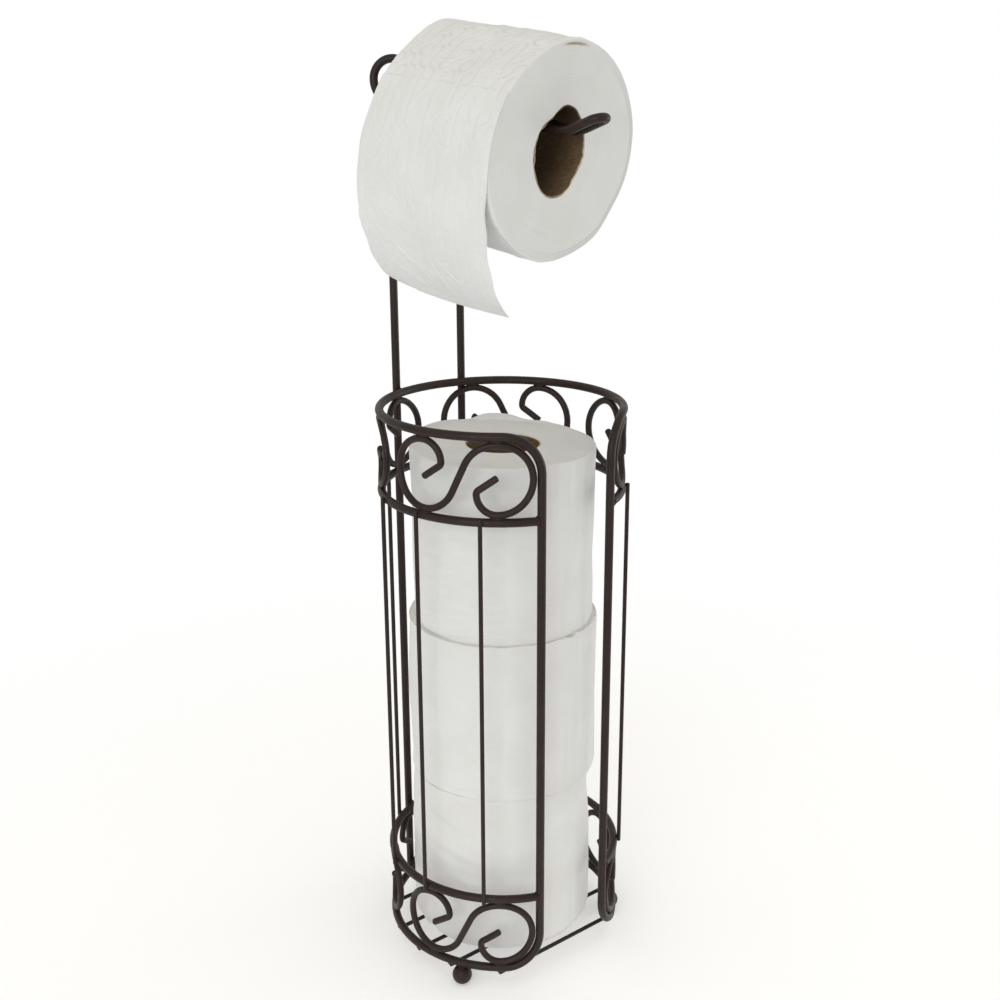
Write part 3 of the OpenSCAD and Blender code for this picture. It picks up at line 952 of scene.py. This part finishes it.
def hanging_curve(across):
    """The hanging length, as one cubic curve that leaves the roll along its skin and curls in below."""
    start = outer_radius(180, across)
    lean = (outer_radius(180.5, across) - outer_radius(179.5, across)) / math.radians(1) / start
    bow = np.sin(math.pi * across**0.75)
    torn = TORN_STEP * smooth_step((0.27 - across) / 0.02)
    corners_x = [-start, -start - HANG_LEAD * np.sin(lean), KNEE_X, END_X + 1.2 * MM * bow - torn]
    corners_y = [0, -HANG_LEAD * np.cos(lean), KNEE_Y, END_Y - 3.4 * MM * bow + torn]
    t = np.linspace(0, 1, SHEET_HANG_STEPS)[:, None]
    weights = [(1 - t) ** 3, 3 * (1 - t) ** 2 * t, 3 * (1 - t) * t**2, t**3]
    return [sum(k * c for k, c in zip(weights, corners)) for corners in (corners_x, corners_y)]


def sheet_faces(rows, columns):
    """Both sides of a thin sheet and the strip round its edge. One side's points follow the other's."""
    count = rows * columns
    number = np.arange(count).reshape(rows, columns)
    border = np.concatenate([number[0], number[1:, -1], number[-1, -2::-1], number[-2:0:-1, 0]]).tolist()
    edge = [[a, b, b + count, a + count] for a, b in zip(border, border[1:] + border[:1])]
    return grid_faces(rows, columns, flip=True) + grid_faces(rows, columns, count) + edge


def hanging_sheet():
    """The loose end of the paper, which laps over the roll at the left and hangs down."""
    across = np.linspace(0, 1, SHEET_ACROSS)[None, :]
    lap = np.linspace(math.pi - SHEET_LAP, math.pi, SHEET_LAP_STEPS, endpoint=False)[:, None]
    lap_r = outer_radius(np.degrees(lap), across)
    hang_x, hang_y = hanging_curve(across)
    x, y = np.vstack([lap_r * np.cos(lap), hang_x]), np.vstack([lap_r * np.sin(lap), hang_y])
    along_x, along_y = np.gradient(x, axis=0), np.gradient(y, axis=0)
    length = np.hypot(along_x, along_y)
    along_x, along_y = along_x / length, along_y / length
    middle = SHEET_ACROSS // 2
    steps = np.hypot(np.diff(x[:, middle]), np.diff(y[:, middle]))
    run = np.concatenate([[0], np.cumsum(steps)])[:, None]
    leave, whole = run[SHEET_LAP_STEPS, 0], run[-1, 0]
    s = HANG_LENGTH + leave - run + 0 * across
    w = (across - 0.5) * ROLL_W + 0 * s
    hanging = smooth_step((run - leave) / (40 * MM))
    pattern = emboss(s, w)
    relief = pattern + soft_waves(s, w) * (1 - hanging)
    relief += hanging * (0.9 * MM * waves(np.stack([s, w], -1), 60 * MM, 5, 51) + creases(s, w))
    relief *= off_the_ends(across, 0.02) * (0.15 + 0.85 * smooth_step((whole - run) / (7 * MM)))
    thick = PLY * smooth_step(run / (10 * MM)) + 0.01 * MM
    z = w * 1.002 + 0.35 * MM * waves(np.stack([s, 0 * s], -1), 25 * MM, 5, 61) * hanging
    teeth = 0.2 * MM * np.abs(np.sin(across * math.pi * TEETH)) * smooth_step((run - whole) / (2 * MM) + 1)
    skins = []
    for out in (relief, relief - thick):
        skins.append(arm_place(x + along_y * out - along_x * teeth, y - along_x * out - along_y * teeth, z))
    # Painted shade along the embossed lines over the top of the roll.
    fields = {"pressed": [emboss_shade_share(pattern, s)] * 2}
    faces = sheet_faces(*x.shape)
    names = ("arm_roll", "tissue_paper", ["hanging_sheet"])
    obj = add_piece("loose_sheet", skins, faces, [tissue], *names, ROLL_SHARP, fields)


# ---- Spare rolls ----

SPARE_COLUMNS = 360
SPARE_HOLE_SHARE = 0.95
FOLD_PLACES = (-6, 4, 13, 24)
# How high up a roll its moved foot still shows, as a share of its height
FOOT_FADE = 0.8
TOP_FOOT = (-1.3 * MM, -1.6 * MM, 1.05 * MM)


def spare_roll(
    name, seed, low_edge, high_edge, folded=1, rim=None, flare=0, raised=0, corner=0, flap=0,
    foot=(0, 0, 0), crumple=0, wrinkled=0.13 * MM,
):
    """One spare roll and its core, standing where its nodes are.

    low_edge and high_edge are the radii of its edges, folded scales its upright folds, and rim is its top
    rim's material. flare widens the top and narrows the bottom. raised lifts the top face, corner its rear
    left side, and flap a loose ply at the rear. foot moves the lower end, crumple makes the top edge uneven
    beside the open front, and wrinkled is the depth of the wrinkles at the left.
    """
    node, core = f"{name}_roll_paper", f"{name}_roll_core"
    middle, floor_z = node_middle(node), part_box(node)[0].z
    radius_out, width = node_size(node).x / 2, node_size(node).z
    radius_in = SPARE_HOLE_SHARE * node_size(core).x / 2
    depth = np.concatenate([[0.4, 0.9, 1.4, 2.0], np.linspace(3, 31.7, 26)]) * MM
    shares = 1 - depth / (radius_out - radius_in)
    shares[-1] = 0
    rows = profile(shares, low_edge / width, high_edge / width, side_steps=110, low_steps=8, hole_steps=4)
    q, inset, height, end = rows.T[:4, :, None]
    degrees = ring_degrees(SPARE_COLUMNS) + 0 * height
    height = height + 0 * degrees
    basket_degrees = degrees + 90
    a = np.radians(degrees)
    z = height * width
    skin = np.stack([radius_out * np.cos(a), radius_out * np.sin(a), z], -1)
    dent = 0.55 * MM * waves(skin, 70 * MM, 7, seed) + folded * folds(basket_degrees, height, seed)
    dent += 0.2 * MM * waves(skin * [1, 1, 0.35], 16 * MM, 9, seed + 1)
    wrinkles = waves(skin * [0.4, 0.4, 1.8], 9 * MM, 9, seed + 2) * window(basket_degrees, -72, 50)
    dent += wrinkles * (wrinkled + 0.35 * MM * np.exp(-z / (12 * MM)))
    dent *= (q == 1) * off_the_ends(height, 0.03)
    edge = np.where(height < 0.5, low_edge, high_edge)
    outside = radius_out - 0.4 * MM + dent - edge * inset + flare * (2 * height - 1)
    radius = radius_in + HOLE_SLACK + (outside - radius_in) * q
    away = radius_out - radius
    z += end * layer_relief(radius, degrees, seed + 3)
    loose = window(basket_degrees, 145, 15) + 0.3 * window(basket_degrees, 120, 12)
    outer_ply = (end >= 0) * (height > 0.9) * (1 - smooth_step((away - 2.2 * MM) / (0.6 * MM)))
    z += flap * loose * outer_ply
    near_top = np.exp(-(((1 - height) * width / (2.5 * MM)) ** 2)) * (away < 3 * MM)
    z += crumple * waves(skin, 5 * MM, 8, seed + 5) * window(basket_degrees, 14, 26) * near_top
    rise = raised + corner * window(basket_degrees, -165, 42, 2) * smooth_step(radius / radius_out / 0.9)
    z += rise * smooth_step((height - 0.2) / 0.8)
    low = 1 - smooth_step(height / FOOT_FADE)
    x = middle.x + radius * np.cos(a) + foot[0] * low
    y = middle.y + radius * np.sin(a) + foot[1] * low
    points = np.stack([x, y, floor_z + z + foot[2] * low], -1)
    roll_piece(f"{name}_spare_wound", points, radius, rows, f"{name}_roll", node, rim)
    spare_tube(name, core, middle, radius_in, raised, foot)


def folds(degrees, height, seed):
    """Upright folds where the soft roll is squeezed past the front posts."""
    rng = np.random.default_rng(seed)
    depth = np.zeros_like(degrees)
    for centre in FOLD_PLACES:
        place = centre + rng.uniform(-5, 5) * (height - 0.5)
        size = rng.uniform(0.45, 1.0) * MM
        depth += size * (0.7 * window(degrees, place + 2.4, 2.0, 2) - window(degrees, place, 1.8, 2))
    return depth * (0.65 + 0.35 * np.sin(height * 5 + seed))


def spare_tube(name, node, middle, radius, raised, foot):
    """A spare roll's cardboard core."""
    degrees = ring_degrees(120)
    share = np.linspace(0, 1, 40)[:, None]
    a = np.radians(degrees)
    low = 1 - smooth_step(share / FOOT_FADE)
    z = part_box(node)[0].z + (node_size(node).z + raised - 0.4 * MM) * share + foot[2] * low + 0 * a
    outer = radius - TUBE_SLACK + 0 * z
    inner = outer - CORE_WALL + spiral_seam(degrees, share, 0.2 * MM, 6)
    skins = []
    for r in (outer, inner):
        x = middle.x + foot[0] * low + r * np.cos(a)
        y = middle.y + foot[1] * low + r * np.sin(a)
        skins.append(np.stack([x, y, z], -1))
    core_piece(f"{name}_spare_tube", *skins, f"{name}_roll", node)


# ---- Stage, light and camera ----

# Angles in degrees: the azimuth starts at the front and grows towards +X
CAMERA_AZIMUTH = -38.724
CAMERA_ELEVATION = 17.630
CAMERA_ROLL = -0.298
CAMERA_DISTANCE = 777.9 * MM
CAMERA_LENS = 46.989
SENSOR_W = 36
TARGET = Vector((-0.86, 0.69, 289.58)) * MM
LIGHT_DISTANCE = 1.6
LIGHT_SIZE = 0.8
AMBIENT = 0.74
FLOOR_R = 0.8
FLOOR_SOLID_R = 0.13
FLOOR_SIDES = 96


def aimed(azimuth, elevation, distance, roll=0):
    """The place and turn of a camera or light that looks at the target from there."""
    a, e = math.radians(azimuth), math.radians(elevation)
    back = Vector((math.sin(a) * math.cos(e), -math.cos(a) * math.cos(e), math.sin(e)))
    turn = back.to_track_quat("Z", "Y").to_matrix() @ Matrix.Rotation(math.radians(roll), 3, "Z")
    return Matrix.Translation(TARGET + back * distance) @ turn.to_4x4()


def add_camera():
    camera = add_object("camera", bpy.data.cameras.new("camera"))
    camera.data.sensor_width = SENSOR_W
    camera.data.lens = CAMERA_LENS
    camera.data.clip_start = 0.01
    camera.matrix_world = aimed(CAMERA_AZIMUTH, CAMERA_ELEVATION, CAMERA_DISTANCE, CAMERA_ROLL)
    bpy.context.scene.camera = camera


def floor_material():
    """White, fading out to the white surroundings."""
    material, tree, shader = new_material("floor")
    set_inputs(shader, {"Base Color": (0.9, 0.9, 0.9, 1), "Roughness": 0.9, "Specular IOR Level": 0.1})
    set_inputs(shader, {"Emission Color": (1, 1, 1, 1), "Emission Strength": 0.28})
    place = tree.nodes.new("ShaderNodeTexCoord")
    length = tree.nodes.new("ShaderNodeVectorMath")
    length.operation = "LENGTH"
    link(tree, place.outputs["Object"], length.inputs[0])
    fade = tree.nodes.new("ShaderNodeMapRange")
    fade.interpolation_type = "SMOOTHSTEP"
    set_inputs(fade, {"From Min": FLOOR_SOLID_R, "From Max": 0.9 * FLOOR_R, "To Min": 1, "To Max": 0})
    link(tree, length.outputs["Value"], fade.inputs["Value"])
    link(tree, fade.outputs["Result"], shader.inputs["Alpha"])
    return material


def add_floor():
    mesh = bpy.data.meshes.new("floor")
    angles = [2 * math.pi * k / FLOOR_SIDES for k in range(FLOOR_SIDES)]
    rim = [(FLOOR_R * math.cos(a), FLOOR_R * math.sin(a), 0) for a in angles]
    mesh.from_pydata(rim, [], [list(range(FLOOR_SIDES))])
    mesh.materials.append(floor_material())
    add_object("floor", mesh)


def add_area(name, azimuth, elevation, power, colour):
    """A soft square light, aimed at the object."""
    light = bpy.data.lights.new(name, "AREA")
    light.size = LIGHT_SIZE
    light.energy = power
    light.color = colour
    add_object(name, light).matrix_world = aimed(azimuth, elevation, LIGHT_DISTANCE)


def add_world():
    """White to the eye, and an even soft light on the object."""
    world = bpy.data.worlds.new("studio")
    world.use_nodes = True
    tree = world.node_tree
    background = tree.nodes["Background"]
    background.inputs["Strength"].default_value = AMBIENT
    place = tree.nodes.new("ShaderNodeTexCoord")
    apart = tree.nodes.new("ShaderNodeSeparateXYZ")
    link(tree, place.outputs["Generated"], apart.inputs["Vector"])
    rise = tree.nodes.new("ShaderNodeMapRange")
    rise.inputs["From Min"].default_value = -1
    link(tree, apart.outputs["Z"], rise.inputs["Value"])
    sky = ramp(tree, rise.outputs["Result"], (0.835, 0.856, 0.862), (0.98, 0.963, 0.9), 0.25, 0.75)
    link(tree, sky, background.inputs["Color"])
    seen = tree.nodes.new("ShaderNodeBackground")
    seen.inputs["Color"].default_value = (1, 1, 1, 1)
    path = tree.nodes.new("ShaderNodeLightPath")
    mix = tree.nodes.new("ShaderNodeMixShader")
    link(tree, path.outputs["Is Camera Ray"], mix.inputs["Fac"])
    link(tree, background.outputs["Background"], mix.inputs[1])
    link(tree, seen.outputs["Background"], mix.inputs[2])
    link(tree, mix.outputs["Shader"], tree.nodes["World Output"].inputs["Surface"])
    bpy.context.scene.world = world


def build_stage():
    add_camera()
    add_floor()
    add_world()
    add_area("key", -60, 14, 5.6, (1.0, 1.0, 0.995))
    add_area("fill", 70, 0, 4.8, (0.98, 0.99, 1.0))
    bpy.context.scene.view_settings.view_transform = "Standard"


def build_spare_rolls():
    spare_roll(
        "bottom", 101, 8 * MM, 0.8 * MM, folded=0.35, rim=tissue_rim, raised=0.45 * MM,
        crumple=0.35 * MM, wrinkled=0.4 * MM,
    )
    spare_roll(
        "middle", 202, 1.4 * MM, 1.0 * MM, folded=0.8, rim=tissue_rim, raised=1.8 * MM, crumple=0.5 * MM
    )
    spare_roll(
        "top", 303, 0.5 * MM, 1.8 * MM, flare=0.9 * MM, raised=2.7 * MM, corner=4.2 * MM, flap=3.8 * MM,
        foot=TOP_FOOT,
    )


build_stage()
build_stand()
arm_roll_body()
arm_roll_tube()
hanging_sheet()
build_spare_rolls()
